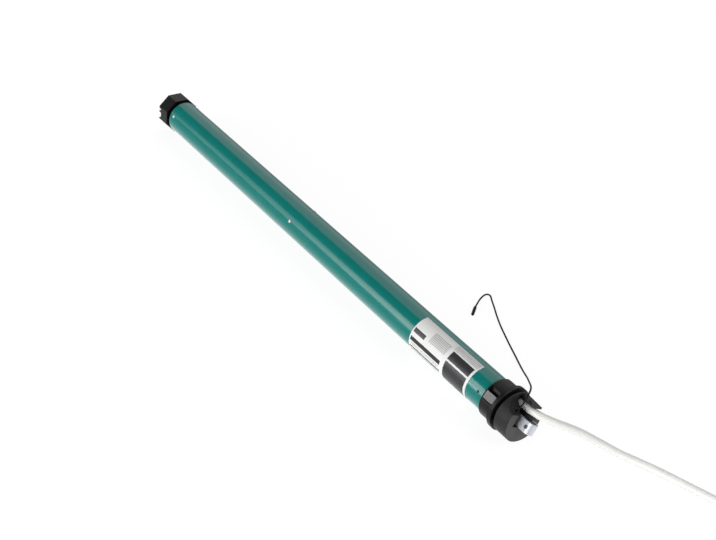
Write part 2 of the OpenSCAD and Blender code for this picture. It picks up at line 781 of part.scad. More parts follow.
module rotor_shaft() {
    color("gainsboro") {
        rod(sun_bore_r - seat_gap, planets1_x + 0.4, ring_to - planets1_x);
        rod(shaft_r, ring_to - 0.4, encoder_x + encoder_t - ring_to + 0.4);
    }
}

module encoder_magnet() {
    color("black") difference() {
        rod(shaft_r + 4, encoder_x, encoder_t);
        rod(shaft_r + seat_gap, encoder_x - past, encoder_t + 2 * past);
    }
}

module front_shield() {
    color("lightgray") difference() {
        rod(core_r, front_shield_x, shield_t);
        rod(bush_r + seat_gap, front_shield_x - past, shield_t + 2 * past);
    }
}

// Rear shield, with holes for the rivets and for the motor's leads
module rear_shield() {
    color("lightgray") difference() {
        rod(core_r, rear_shield_x, rear_shield_t);
        rod(bush_r + seat_gap, rear_shield_x - past, rear_shield_t + 2 * past);
        fixing_holes(core_r / 2);
        for (i = [0 : fixings - 1]) on_axis(rear_shield_x - past, 90 + i * 30)
            translate([bush_r + 4, 0, 0]) cylinder(r = lead_hole_r, h = rear_shield_t + 2 * past);
    }
}

// Sintered bushes of the rotor shaft
module shaft_bushes() {
    seats = [[front_shield_x, shield_t], [rear_shield_x, rear_shield_t]];
    color("darkgoldenrod") for (q = seats) difference() {
        rod(bush_r, q[0], q[1]);
        rod(shaft_r + run_fit, q[0] - past, q[1] + 2 * past);
    }
}

module brake_plate() {
    color("gray") difference() {
        rod(core_r, ring_to + seat_gap, brake_plate_t);
        rod(shaft_r + pass_gap, ring_to - past, brake_plate_t + 2 * past);
    }
}

// Friction disc, fixed to the rotor shaft
module brake_disc() {
    color("saddlebrown") difference() {
        rod(brake_r, disc_x, brake_disc_t);
        rod(shaft_r + seat_gap, disc_x - past, brake_disc_t + 2 * past);
    }
}

module brake_armature() {
    color("silver") difference() {
        rod(brake_r, armature_x, armature_t);
        rod(shaft_r + 1, armature_x - past, armature_t + 2 * past);
    }
}

// Magnet of the brake, with a pocket for the spring
module brake_magnet() {
    pocket = 2 * spring_wire_r + 0.8;
    low = spring_r - pocket / 2;
    high = spring_r + pocket / 2;
    color("chocolate") on_axis(magnet_x) rotate_extrude() polygon([[shaft_r + 1, 0], [low, 0],
        [low, spring_pocket_l], [high, spring_pocket_l], [high, 0], [core_r, 0], [core_r, magnet_l],
        [shaft_r + 1, magnet_l]]);
}

// Spring that presses the brake plate onto the disc
module brake_spring() {
    low = magnet_x + spring_pocket_l - spring_wire_r - seat_gap;
    high = magnet_x - 0.2 + spring_wire_r;
    steps = spring_curls * curl_steps;
    path = [for (n = [0 : steps])
        let (a = 360 * n / curl_steps)
        [low + (high - low) * n / steps, spring_r * cos(a), axis_h + spring_r * sin(a)]];
    color("silver") tube_along(path, spring_wire_r, 6, [1, 0, 0]);
}

module ring_gear() {
    color("lightgray") on_axis(ring_from) linear_extrude(ring_to - ring_from) difference() {
        circle(r = core_r);
        ring_teeth();
    }
}

// First sun, on the end of the rotor shaft
module sun_gear() {
    color("goldenrod") on_axis(planets1_x + 0.4) linear_extrude(ring_to - planets1_x - 1) difference() {
        gear(sun_z);
        circle(r = sun_bore_r);
    }
}

module first_carrier() {
    color("silver") carrier(carrier1_x, stage1_w, stage2_w);
}

module second_carrier() {
    color("silver") carrier(carrier2_x, stage2_w, stage3_w);
}

// Output: third carrier, round shaft through the bearing, and a hexagon for the drive wheel
module output_shaft() {
    hex_x = wheel_x + web_in + web_t - 1;
    color("gray") difference() {
        union() {
            rod(carrier_r, carrier3_x, carrier_t);
            planet_pins(carrier3_x, stage3_w);
            rod(output_d / 2, drive_x - bearing_out, carrier3_x - drive_x + bearing_out + carrier_t / 2);
            on_axis(hex_x, wheel_turn) cylinder(r = hex_af / 2 / cos(30), h = drive_x - hex_x, $fn = 6);
        }
        rod(screw_r + seat_gap, hex_x - past, screw_hole_l + past);
    }
}

// Bearing plug in the drive end of the tube, with a thin flange over the tube's end and a neck to the wheel
module output_bearing() {
    color("black") difference() {
        union() {
            rod(core_r, drive_x - end_flange_t / 2, bearing_l + end_flange_t / 2);
            rod(tube_r - 0.3, drive_x - end_flange_t, end_flange_t - seat_gap);
            rod(output_d / 2 + 3, drive_x - bearing_out, bearing_out);
        }
        rod(output_d / 2 + run_fit, drive_x - bearing_out - past, bearing_l + bearing_out + 2 * past);
        fixing_holes(core_r / 2);
    }
}

module stage1_planet_a() planet(0, planets1_x, stage1_w);
module stage1_planet_b() planet(1, planets1_x, stage1_w);
module stage1_planet_c() planet(2, planets1_x, stage1_w);
module stage2_planet_a() planet(0, planets2_x, stage2_w);
module stage2_planet_b() planet(1, planets2_x, stage2_w);
module stage2_planet_c() planet(2, planets2_x, stage2_w);
module stage3_planet_a() planet(0, planets3_x, stage3_w);
module stage3_planet_b() planet(1, planets3_x, stage3_w);
module stage3_planet_c() planet(2, planets3_x, stage3_w);

// Drive wheel: an eight-sided shell with notches in its rim, a web, ribs and a hexagonal hub
module drive_wheel() {
    inner_r = wheel_r - wheel_wall / cos(180 / wheel_sides);
    rib_x = web_in + web_t - 1;
    rib_in = hub_r - 1;
    rib_l = wheel_l - rib_x - 2;
    hex_r = hex_af / 2 / cos(30) + 2 * seat_gap;
    color("black") on_axis(wheel_x, wheel_turn) difference() {
        union() {
            difference() {
                cylinder(r = wheel_r, h = wheel_l, $fn = wheel_sides);
                translate([0, 0, -past]) cylinder(r = inner_r, h = web_in + past, $fn = wheel_sides);
                translate([0, 0, web_in + web_t]) cylinder(r = inner_r, h = wheel_l, $fn = wheel_sides);
            }
            translate([0, 0, web_in]) cylinder(r = hub_r, h = wheel_l - web_in);
            for (i = [0 : wheel_sides - 1]) rotate([0, 0, i * 360 / wheel_sides])
                translate([rib_in, -rib_t / 2, rib_x]) cube([inner_r * 0.98 - rib_in, rib_t, rib_l]);
        }
        for (i = notched_flats, q = [[notch_from, notch_w], [notch_from - fin_t - slot_w, slot_w]])
            rotate([0, 0, (i + 0.5) * 360 / wheel_sides])
                translate([wheel_af / 2 - 2 * wheel_wall, q[0], -past])
                    cube([3 * wheel_wall, q[1], notch_depth + past]);
        translate([0, 0, rib_x - seat_gap]) cylinder(r = hex_r, h = wheel_l, $fn = 6);
        translate([0, 0, -past]) cylinder(r = screw_r + 2 * seat_gap, h = wheel_l);
    }
}

// Screw and washer that hold the wheel on the shaft
module wheel_screw() {
    from = wheel_x + web_in;
    color("silver") difference() {
        union() {
            rod(screw_r, from - washer_t, screw_l);
            rod(washer_r, from - washer_t - seat_gap, washer_t);
            rod(screw_head_r, from - washer_t - seat_gap - screw_head_l, screw_head_l + washer_t / 2);
        }
        on_axis(from - washer_t - screw_head_l - past)
            cylinder(r = screw_head_r / 2, h = past + screw_head_l / 2, $fn = 6);
    }
}

motor_tube();
tube_rivets();
head_screws();
rating_label();
head_body();
crown_ring();
mounting_bracket();
bracket_pin();
cable_plug();
mains_cable();
cable_coil();
coil_tie();
conductor_live();
conductor_neutral();
conductor_earth();
antenna_wire();
antenna_tip();
board_tray();
control_board();
run_capacitor();
power_relays();
radio_module();
stator_core();
stator_windings();
rotor_core();
rotor_shaft();
encoder_magnet();
front_shield();
rear_shield();
shaft_bushes();
brake_plate();
brake_disc();
brake_armature();
brake_magnet();
brake_spring();
ring_gear();
sun_gear();
first_carrier();
second_carrier();
output_shaft();
output_bearing();
stage1_planet_a();
stage1_planet_b();
stage1_planet_c();
stage2_planet_a();
stage2_planet_b();
stage2_planet_c();
stage3_planet_a();
stage3_planet_b();
stage3_planet_c();
drive_wheel();
wheel_screw();
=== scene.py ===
"""Looks of a tubular roller blind motor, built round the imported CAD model."""
import json
import math

import bmesh
import bpy
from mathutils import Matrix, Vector

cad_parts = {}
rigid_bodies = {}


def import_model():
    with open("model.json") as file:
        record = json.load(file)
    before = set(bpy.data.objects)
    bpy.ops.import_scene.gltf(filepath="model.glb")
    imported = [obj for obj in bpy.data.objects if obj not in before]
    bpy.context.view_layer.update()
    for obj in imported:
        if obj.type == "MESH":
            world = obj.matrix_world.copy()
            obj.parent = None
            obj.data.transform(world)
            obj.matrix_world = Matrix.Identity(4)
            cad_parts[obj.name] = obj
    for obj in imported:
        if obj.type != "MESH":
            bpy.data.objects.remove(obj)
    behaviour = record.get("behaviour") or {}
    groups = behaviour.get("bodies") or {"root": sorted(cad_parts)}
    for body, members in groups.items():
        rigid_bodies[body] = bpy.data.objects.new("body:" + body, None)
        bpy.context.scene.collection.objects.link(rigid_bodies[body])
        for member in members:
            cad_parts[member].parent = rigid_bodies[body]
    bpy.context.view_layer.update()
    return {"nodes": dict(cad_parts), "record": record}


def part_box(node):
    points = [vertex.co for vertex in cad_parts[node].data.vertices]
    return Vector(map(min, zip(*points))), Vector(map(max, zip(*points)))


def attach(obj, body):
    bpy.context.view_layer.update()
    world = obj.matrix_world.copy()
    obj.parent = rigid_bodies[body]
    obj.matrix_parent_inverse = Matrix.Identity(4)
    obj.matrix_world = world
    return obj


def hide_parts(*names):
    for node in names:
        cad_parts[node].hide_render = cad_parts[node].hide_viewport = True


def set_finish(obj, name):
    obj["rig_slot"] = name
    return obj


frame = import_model()
nodes = frame["nodes"]
MM = 0.001

# Places that the CAD gives, in metres
tube_low, tube_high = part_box("motor_tube")
HEAD_X = tube_high.x
AXIS_Z = (tube_low.z + tube_high.z) / 2
TUBE_R = (tube_high.z - tube_low.z) / 2

# Values of the head as in the CAD, in millimetres, those along X from the tube's head end
AXIS_H = AXIS_Z / MM
HEAD_TURN = math.radians(56)
NOSE_FROM = 22.0
PLUG_FACE = 23.5
ANTENNA_HOLE = (6.5, 10)
ANTENNA_HOLE_END = 30.6

# Camera: where the photograph was taken from
CAMERA_AT = Vector((0.9016, -0.5883, 0.8389))
CAMERA_TO = Vector((0.0516, 0.0, 0.0260))
CAMERA_LENS = 70.39
CAMERA_SENSOR = 36.0
CAMERA_CLIP = (0.01, 100.0)


def add_object(name, data):
    """A new object of the scene."""
    thing = bpy.data.objects.new(name, data)
    bpy.context.scene.collection.objects.link(thing)
    return thing


def point_at(thing, place, target):
    """Puts a camera or a lamp at a place, facing a target."""
    thing.location = place
    thing.rotation_euler = (Vector(target) - Vector(place)).to_track_quat("-Z", "Y").to_euler()


def make_camera():
    data = bpy.data.cameras.new("camera")
    data.lens = CAMERA_LENS
    data.sensor_width = CAMERA_SENSOR
    data.clip_start, data.clip_end = CAMERA_CLIP
    camera = add_object("camera", data)
    point_at(camera, CAMERA_AT, CAMERA_TO)
    bpy.context.scene.camera = camera


make_camera()

# Route of the mains cable in millimetres: along X from the tube's head end, Y, height over the floor
CABLE_D = 7.0
CABLE_STEP = 3
CABLE_ROUTE = [
    (PLUG_FACE + 0.05, 6.7, AXIS_H + 10), (26, 6.7, AXIS_H + 10), (32, 6.7, AXIS_H + 10),
    (38, 7, AXIS_H + 10), (46, 9.5, AXIS_H + 9), (53, 13.5, AXIS_H + 7.5), (58.5, 18, AXIS_H + 5.5),
    (65, 24.5, AXIS_H + 2.5), (71.5, 31.5, AXIS_H - 1.5), (79, 38.5, AXIS_H - 6.5), (88, 46, 9.5),
    (99, 53, 5.2), (113, 60, 3.6), (132, 67, 3.5), (156, 74.5, 3.5), (180, 82, 3.5), (202, 89, 3.5),
    (222, 95, 4.5), (242, 101, 7.5), (258, 105.5, 11),
]

# Coil of the length that is put away: two layers that spiral in and out again
COIL_CENTRE = (282, 58.5)
COIL_R = 48.5
COIL_PITCH = CABLE_D + 1.7
LAYER_TURNS = 2.25
CLIMB_TURNS = 0.5
COIL_LOW = CABLE_D / 2 + 1.3
COIL_HIGH = COIL_LOW + CABLE_D + 1.1
COIL_LEAD = 2 * CABLE_D
COIL_TAIL = 45
LOOP_POINTS = 96

# Stripped ends of the three conductors, which bend at these distances from the end of the sheath
CONDUCTORS = {"live": "brown_wire", "neutral": "blue_wire", "earth": "earth_wire"}
CONDUCTOR_R = 1.2
CONDUCTOR_RING = 1.9
CONDUCTOR_BENDS = (0, 6, 14, 22, 34)
CONDUCTOR_DIP = -1.2
CONDUCTOR_FANS = (0, -8, 8)
FLOOR_GAP = 0.1
WIRE_STEP = 1

# Route of the antenna, measured like the cable's
ANTENNA_D = 1.6
ANTENNA_LOW = ANTENNA_D / 2 + FLOOR_GAP
ANTENNA_ROUTE = [
    (32, -4.3, AXIS_H + 11.7), (33, -2.6, AXIS_H + 14.1), (33, 0.4, AXIS_H + 16.5),
    (32.4, 3.4, AXIS_H + 18.5), (31.2, 6.6, AXIS_H + 20.1), (29.4, 10, AXIS_H + 21.1),
    (26.3, 14.4, AXIS_H + 20.3), (20.5, 20.2, AXIS_H + 16.3), (13, 26.4, AXIS_H + 10.5),
    (3.5, 33.6, AXIS_H + 3), (-6.5, 41, AXIS_H - 4.5), (-18, 48.5, 9.3), (-31, 56, 2.9),
    (-47, 63, ANTENNA_LOW), (-62, 68.6, ANTENNA_LOW), (-75, 73.7, ANTENNA_LOW), (-88, 79, ANTENNA_LOW),
    (-101, 85.2, ANTENNA_LOW), (-112, 91, ANTENNA_LOW), (-121, 95.5, ANTENNA_LOW),
    (-127, 98.6, ANTENNA_LOW), (-130.5, 97.6, ANTENNA_LOW), (-130.8, 93.5, ANTENNA_LOW + 0.1),
    (-128.5, 87.5, ANTENNA_LOW + 0.3), (-125, 81.5, 1.5), (-121.5, 76, 1.6),
]

# Turned pieces on the cords: distances along and radii, in millimetres
FERRULE_PROFILE = [(-1.0, 0.9), (7.6, 0.9), (8, 0.6)]
FERRULE_SIDES = 16
FERRULE_DIRECTION = Vector((1, 0, 0))
CAP_PROFILE = [(-1.2, 0.8), (-0.6, 1.05), (0.4, 1.4), (1.2, 1.5), (10.4, 1.5), (11.4, 1.3), (12, 0.9)]
CAP_SIDES = 24
CAP_DIRECTION = Vector((0.62, -0.78, 0))
CORD_BEVELS = 5


def between(a, b, c, d, t):
    """A point of the smooth curve from b to c, with a before and d after."""
    bend = 2 * a - 5 * b + 4 * c - d
    twist = 3 * b - a - 3 * c + d
    return 0.5 * (2 * b + (c - a) * t + bend * t ** 2 + twist * t ** 3)


def smooth(route, step):
    """Close points along a route of a few."""
    points = [Vector(p) for p in route]
    last = len(points) - 1
    out = []
    for i in range(last):
        before = points[max(i - 1, 0)]
        after = points[min(i + 2, last)]
        parts = max(1, round((points[i + 1] - points[i]).length / step))
        for k in range(parts):
            out.append(between(before, points[i], points[i + 1], after, k / parts))
    return out + [points[last]]


def from_head(points):
    """Millimetres from the tube's head end, as metres in the frame."""
    return [Vector((HEAD_X + p[0] * MM, p[1] * MM, p[2] * MM)) for p in points]


def coil_point(t):
    """The coil's centreline after t turns."""
    share = min(max((t - LAYER_TURNS) / CLIMB_TURNS, 0), 1)
    inward = t if t < LAYER_TURNS else LAYER_TURNS - max(0, t - LAYER_TURNS - CLIMB_TURNS)
    r = COIL_R - COIL_PITCH * inward
    z = COIL_HIGH + (COIL_LOW - COIL_HIGH) * (1 - math.cos(math.pi * share)) / 2
    a = 2 * math.pi * t
    return Vector((COIL_CENTRE[0] + r * math.sin(a), COIL_CENTRE[1] + r * math.cos(a), z))


def cable_points():
    turns = 2 * LAYER_TURNS + CLIMB_TURNS
    loops = [coil_point(n / LOOP_POINTS) for n in range(round(turns * LOOP_POINTS) + 1)]
    lead_in = loops[0] - Vector((COIL_LEAD, 0, 0))
    tail = loops[-1] + Vector((COIL_TAIL, 0, 0))
    return smooth([*CABLE_ROUTE, tuple(lead_in)], CABLE_STEP) + loops + [tail]


def tube_curve(name, points, diameter):
    """A round cord along points in metres."""
    data = bpy.data.curves.new(name, "CURVE")
    data.dimensions = "3D"
    data.bevel_depth = 1.0
    data.bevel_resolution = CORD_BEVELS
    data.use_fill_caps = True
    spline = data.splines.new("POLY")
    spline.points.add(len(points) - 1)
    for place, p in zip(spline.points, points):
        place.co = (*p, 1.0)
        place.radius = diameter / 2
    spline.use_smooth = True
    return add_object(name, data)


def finish_mesh(name, bm, smooth_faces=True):
    """A new piece from a bmesh."""
    bmesh.ops.recalc_face_normals(bm, faces=bm.faces)
    data = bpy.data.meshes.new(name)
    bm.to_mesh(data)
    bm.free()
    for face in data.polygons:
        face.use_smooth = smooth_faces
    return add_object(name, data)


def turned(name, profile, start, direction, sides):
    """A round piece: profile holds distances along direction and radii, in millimetres."""
    bm = bmesh.new()
    along = direction.normalized()
    side = along.orthogonal().normalized()
    other = along.cross(side)
    rings = []
    for distance, radius in profile:
        centre = start + along * (distance * MM)
        r = radius * MM
        ring = []
        for k in range(sides):
            a = 2 * math.pi * k / sides
            ring.append(bm.verts.new(centre + r * (math.cos(a) * side + math.sin(a) * other)))
        rings.append(ring)
    for low, high in zip(rings, rings[1:]):
        for k in range(sides):
            n = (k + 1) % sides
            bm.faces.new((low[k], low[n], high[n], high[k]))
    bm.faces.new(rings[0])
    bm.faces.new(rings[-1])
    return finish_mesh(name, bm)


def conductor_points(i, tail):
    """One conductor: it leaves the sheath, comes down to the floor and ends level."""
    a = math.radians(90 + 120 * i)
    side = math.cos(a) * CONDUCTOR_RING
    rise = math.sin(a) * CONDUCTOR_RING
    end_y = side + CONDUCTOR_FANS[i]
    floor = CONDUCTOR_R + FLOOR_GAP - COIL_LOW
    sides = (side, side, (side + end_y) / 2, end_y, end_y)
    heights = (rise, rise, CONDUCTOR_DIP, floor, floor)
    bends = zip(CONDUCTOR_BENDS, sides, heights)
    return smooth([tuple(tail + Vector(b)) for b in bends], WIRE_STEP)


def make_mains_cable():
    points = cable_points()
    path = from_head(points)
    cable = tube_curve("mains_cable_sheath", path, CABLE_D * MM)
    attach(cable, "motor")
    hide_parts("mains_cable", "cable_coil")
    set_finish(cable, "cable_sheath")
    on_cable = [nodes["coil_tie"]]
    for i, (name, slot) in enumerate(CONDUCTORS.items()):
        wire_path = from_head(conductor_points(i, points[-1]))
        wire = tube_curve(f"{name}_wire", wire_path, 2 * CONDUCTOR_R * MM)
        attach(wire, "motor")
        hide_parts(f"conductor_{name}")
        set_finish(wire, slot)
        wire_end = wire_path[-1]
        ferrule = turned(f"{name}_ferrule", FERRULE_PROFILE, wire_end, FERRULE_DIRECTION, FERRULE_SIDES)
        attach(ferrule, "motor")
        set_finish(ferrule, "bright_steel")
        on_cable += [wire, ferrule]


def make_antenna():
    u, v = ANTENNA_HOLE
    y = u * math.cos(HEAD_TURN) - v * math.sin(HEAD_TURN)
    z = AXIS_H + u * math.sin(HEAD_TURN) + v * math.cos(HEAD_TURN)
    route = [(NOSE_FROM, y, z), (ANTENNA_HOLE_END, y, z), *ANTENNA_ROUTE]
    path = from_head(smooth(route, WIRE_STEP))
    wire = tube_curve("antenna_lead", path, ANTENNA_D * MM)
    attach(wire, "motor")
    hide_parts("antenna_wire")
    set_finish(wire, "antenna_sheath")
    cap = turned("antenna_cap", CAP_PROFILE, path[-1], CAP_DIRECTION, CAP_SIDES)
    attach(cap, "motor")
    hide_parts("antenna_tip")
    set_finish(cap, "antenna_sheath")


make_mains_cable()
make_antenna()

# Materials: every slot of the record gets a shader of its own class
slot_of = {s["node"]: s["material_slot"] for s in frame["record"]["subparts"]}
TUBE_GREEN = (0.0010, 0.184, 0.161)
BLACK = (0.0085, 0.0078, 0.0080)
GREY = (0.021, 0.0205, 0.021)
ZINC = (0.60, 0.625, 0.67)

# How noise is drawn out on a surface: longer along an axis where the number is smaller
EVEN = (1, 1, 1)
BRUSHED = (1, 12, 12)
TURNED = (12, 1, 1)
LAYERED = (1, 0.02, 0.02)
WOUND = (0.2, 1, 1)

# What all surfaces share: detail of each noise, how much finer the gloss varies, the ends of a ramp
COLOUR_DETAIL = 5.0
GLOSS_DETAIL = 3.0
GRAIN_DETAIL = 2.0
GLOSS_FINER = 3
GRAIN_DEPTH = 0.2 * MM
RAMP_ENDS = (0.35, 0.65)
COAT_ROUGHNESS = 0.06


def new_material(name):
    material = bpy.data.materials.new(name)
    material.use_nodes = True
    tree = material.node_tree
    return material, tree, tree.nodes["Principled BSDF"]


def add_node(tree, kind, **values):
    node = tree.nodes.new(kind)
    for key, value in values.items():
        if key in node.inputs:
            node.inputs[key].default_value = value
        else:
            setattr(node, key, value)
    return node


def calculate(tree, operation, *values):
    """Math on two or three values, each of them a node's output or a plain number."""
    node = add_node(tree, "ShaderNodeMath", operation=operation)
    for socket, value in zip(node.inputs, values):
        if isinstance(value, (int, float)):
            socket.default_value = value
        else:
            tree.links.new(value, socket)
    return node.outputs["Value"]


def own_place(tree):
    """A point's place in the object's own metres."""
    return add_node(tree, "ShaderNodeTexCoord").outputs["Object"]


def noise(tree, scale, detail, stretch):
    """Noise in the object's own metres, drawn out along an axis where stretch is smaller."""
    mapping = add_node(tree, "ShaderNodeMapping", Scale=stretch)
    texture = add_node(tree, "ShaderNodeTexNoise", Scale=scale, Detail=detail)
    tree.links.new(own_place(tree), mapping.inputs["Vector"])
    tree.links.new(mapping.outputs["Vector"], texture.inputs["Vector"])
    return texture.outputs["Fac"]


def ramp(tree, value, low, high):
    """A colour or grey that goes from low to high with a value."""
    node = add_node(tree, "ShaderNodeValToRGB")
    for stop, place, colour in zip(node.color_ramp.elements, RAMP_ENDS, (low, high)):
        stop.position = place
        stop.color = (*colour, 1.0)
    tree.links.new(value, node.inputs["Fac"])
    return node.outputs["Color"]


def shade(colour, factor):
    return tuple(min(1.0, c * factor) for c in colour)


def surface(name, colour, roughness, metallic=0.0, mottle=0.06, mottle_scale=60, rough_spread=0.05,
            grain=0.0, grain_scale=2500, stretch=EVEN, coat=0.0, specular=0.5):
    """A shader with a little uneven colour, uneven gloss and, where asked, a fine grain."""
    material, tree, bsdf = new_material(name)
    bsdf.inputs["Metallic"].default_value = metallic
    bsdf.inputs["Specular IOR Level"].default_value = specular
    bsdf.inputs["Coat Weight"].default_value = coat
    bsdf.inputs["Coat Roughness"].default_value = COAT_ROUGHNESS
    cloudy = noise(tree, mottle_scale, COLOUR_DETAIL, stretch)
    tint = ramp(tree, cloudy, shade(colour, 1 - mottle), shade(colour, 1 + mottle))
    tree.links.new(tint, bsdf.inputs["Base Color"])
    uneven = noise(tree, mottle_scale * GLOSS_FINER, GLOSS_DETAIL, stretch)
    gloss = ramp(tree, uneven, (roughness - rough_spread,) * 3, (roughness + rough_spread,) * 3)
    tree.links.new(gloss, bsdf.inputs["Roughness"])
    if grain:
        bump = add_node(tree, "ShaderNodeBump", Strength=grain, Distance=GRAIN_DEPTH)
        tree.links.new(noise(tree, grain_scale, GRAIN_DETAIL, stretch), bump.inputs["Height"])
        tree.links.new(bump.outputs["Normal"], bsdf.inputs["Normal"])
    return material


def moulded(name, colour, roughness, specular):
    """Plastic with the fine grain of its mould."""
    return surface(name, colour, roughness, mottle=0.12, mottle_scale=120, rough_spread=0.06, grain=0.22,
                   grain_scale=2600, specular=specular)


def black_plastic(name):
    return moulded(name, BLACK, roughness=0.38, specular=0.23)


def grey_plastic(name):
    return moulded(name, GREY, roughness=0.50, specular=0.20)


def brushed_zinc(name):
    return surface(name, ZINC, roughness=0.55, metallic=0.9, mottle=0.08, mottle_scale=300,
                   rough_spread=0.06, grain=0.06, grain_scale=1500, stretch=BRUSHED)


# Most slots: colour, roughness, metallic, mottle, its scale, spread of gloss, grain, its scale, stretch
FINISHES = {
    "bright_steel": ((0.62, 0.63, 0.64), 0.28, 1.0, 0.06, 200, 0.06, 0.05, 1500, TURNED),
    "dark_steel": ((0.010, 0.010, 0.011), 0.42, 0.2, 0.10, 400, 0.05, 0.10, 3000),
    "cable_sheath": ((0.86, 0.86, 0.83), 0.42, 0.0, 0.02, 200, 0.04, 0.08, 1800),
    "brown_wire": ((0.110, 0.040, 0.016), 0.38, 0.0, 0.05, 200, 0.04),
    "blue_wire": ((0.020, 0.070, 0.360), 0.38, 0.0, 0.05, 200, 0.04),
    "earth_wire": ((0.160, 0.350, 0.020), 0.38, 0.0, 0.05, 200, 0.04),
    "tie_plastic": ((0.015, 0.015, 0.015), 0.45, 0.0, 0.10, 300, 0.05, 0.10, 2500),
    "tray_plastic": ((0.62, 0.58, 0.48), 0.50, 0.0, 0.04, 150, 0.05, 0.10, 2500),
    "board": ((0.012, 0.110, 0.040), 0.32, 0.0, 0.15, 500, 0.05, 0.10, 900),
    "capacitor_case": ((0.55, 0.55, 0.53), 0.42, 0.0, 0.04, 150, 0.05, 0.08, 2500),
    "relay_case": ((0.020, 0.090, 0.300), 0.34, 0.0, 0.05, 200, 0.05, 0.08, 2500),
    "radio_board": ((0.020, 0.160, 0.080), 0.32, 0.0, 0.15, 500, 0.05, 0.10, 900),
    "laminations": ((0.26, 0.27, 0.28), 0.45, 1.0, 0.15, 900, 0.08, 0.30, 900, LAYERED),
    "copper": ((0.62, 0.26, 0.11), 0.36, 1.0, 0.20, 700, 0.08, 0.40, 700, WOUND),
    "rotor_steel": ((0.48, 0.49, 0.50), 0.35, 1.0, 0.08, 300, 0.06, 0.10, 1500, TURNED),
    "cast_alloy": ((0.52, 0.53, 0.54), 0.48, 1.0, 0.08, 300, 0.06, 0.25, 1500),
    "sintered_bronze": ((0.46, 0.29, 0.11), 0.45, 1.0, 0.12, 900, 0.06, 0.25, 2500),
    "magnet": ((0.030, 0.030, 0.033), 0.50, 0.3, 0.12, 600, 0.06, 0.25, 2500),
    "friction_lining": ((0.085, 0.050, 0.028), 0.75, 0.0, 0.25, 900, 0.06, 0.50, 1800),
    "brake_coil": ((0.17, 0.13, 0.10), 0.48, 0.6, 0.10, 300, 0.06, 0.15, 1500, TURNED),
    "gear_steel": ((0.42, 0.42, 0.43), 0.42, 1.0, 0.10, 600, 0.06, 0.20, 2000),
    "gear_nylon": ((0.66, 0.64, 0.57), 0.45, 0.0, 0.03, 200, 0.05, 0.06, 2500),
    "gear_brass": ((0.58, 0.39, 0.12), 0.32, 1.0, 0.08, 400, 0.06, 0.10, 2000),
}
looks = {slot: surface(slot, *finish) for slot, finish in FINISHES.items()}
looks["tube_paint"] = surface("tube_paint", TUBE_GREEN, 0.20, mottle=0.03, rough_spread=0.02, grain=0.008,
                              grain_scale=900, coat=0.2)
looks["label_film"] = surface("label_film", (0.80, 0.80, 0.79), 0.42, mottle=0.015, mottle_scale=90,
                              rough_spread=0.03, specular=0.25)
looks["antenna_sheath"] = surface("antenna_sheath", (0.004, 0.004, 0.004), 0.50, mottle=0.10,
                                  mottle_scale=300, grain=0.08, specular=0.25)
looks["zinc_steel"] = brushed_zinc("zinc_steel")
looks["black_plastic"] = black_plastic("black_plastic")
looks["grey_plastic"] = grey_plastic("grey_plastic")
own_looks = {
    "crown_ring": black_plastic("crown_plastic"),
    "head_body": grey_plastic("head_plastic"),
    "mounting_bracket": brushed_zinc("bracket_zinc"),
}

# Places on the three nodes where light and shade are painted into the colour, and the colour and gloss
# there
# Snap tabs: a lighter grey painted on them as the highlight of the key lamps; their lower roughness is
# their own gloss
TAB_END = HEAD_X + 14.3 * MM
TAB_FROM_AXIS = 19.5 * MM
TAB_PAINTED_HIGHLIGHT = (0.16, 0.16, 0.16)
# Collar and neck inside the crown: near black painted as the shade of the deep recess
COLLAR_END = HEAD_X + 21.9 * MM
COLLAR_PAINTED_SHADE = (0.001, 0.001, 0.001)
# Nose end face: a lighter grey painted as the light that falls on that face
NOSE_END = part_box("head_body")[1].x - 0.5 * MM
NOSE_END_PAINTED_LIGHT = (0.072, 0.072, 0.073)
# Inner faces of the bracket's legs: darker zinc painted as the shade between the legs
LEGS_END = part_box("mounting_bracket")[1].x - 4 * MM
LEGS_APART = 7.1 * MM
BRACKET_PAINTED_SHADE = (0.20, 0.21, 0.23)


def along_tube(tree):
    """A point's place along the tube."""
    parts = add_node(tree, "ShaderNodeSeparateXYZ")
    tree.links.new(own_place(tree), parts.inputs["Vector"])
    return parts.outputs["X"]


def from_axis(tree):
    """A point's distance from the tube's axis."""
    flat = add_node(tree, "ShaderNodeMapping", Location=(0, 0, -AXIS_Z), Scale=(0, 1, 1))
    size = add_node(tree, "ShaderNodeVectorMath", operation="LENGTH")
    tree.links.new(own_place(tree), flat.inputs["Vector"])
    tree.links.new(flat.outputs["Vector"], size.inputs[0])
    return size.outputs["Value"]


def snap_tabs(tree):
    near_end = calculate(tree, "LESS_THAN", along_tube(tree), TAB_END)
    raised = calculate(tree, "GREATER_THAN", from_axis(tree), TAB_FROM_AXIS)
    return calculate(tree, "MULTIPLY", near_end, raised)


def collar(tree):
    return calculate(tree, "LESS_THAN", along_tube(tree), COLLAR_END)


def nose_end(tree):
    return calculate(tree, "GREATER_THAN", along_tube(tree), NOSE_END)


def between_legs(tree):
    """Between the bracket's legs, whose middle plane goes through the axis and is turned with the head."""
    across = add_node(tree, "ShaderNodeVectorMath", operation="DOT_PRODUCT")
    across.inputs[1].default_value = (0, -math.sin(HEAD_TURN), math.cos(HEAD_TURN))
    tree.links.new(own_place(tree), across.inputs[0])
    middle = AXIS_Z * math.cos(HEAD_TURN)
    inside = calculate(tree, "COMPARE", across.outputs["Value"], middle, LEGS_APART / 2)
    before_bend = calculate(tree, "LESS_THAN", along_tube(tree), LEGS_END)
    return calculate(tree, "MULTIPLY", inside, before_bend)


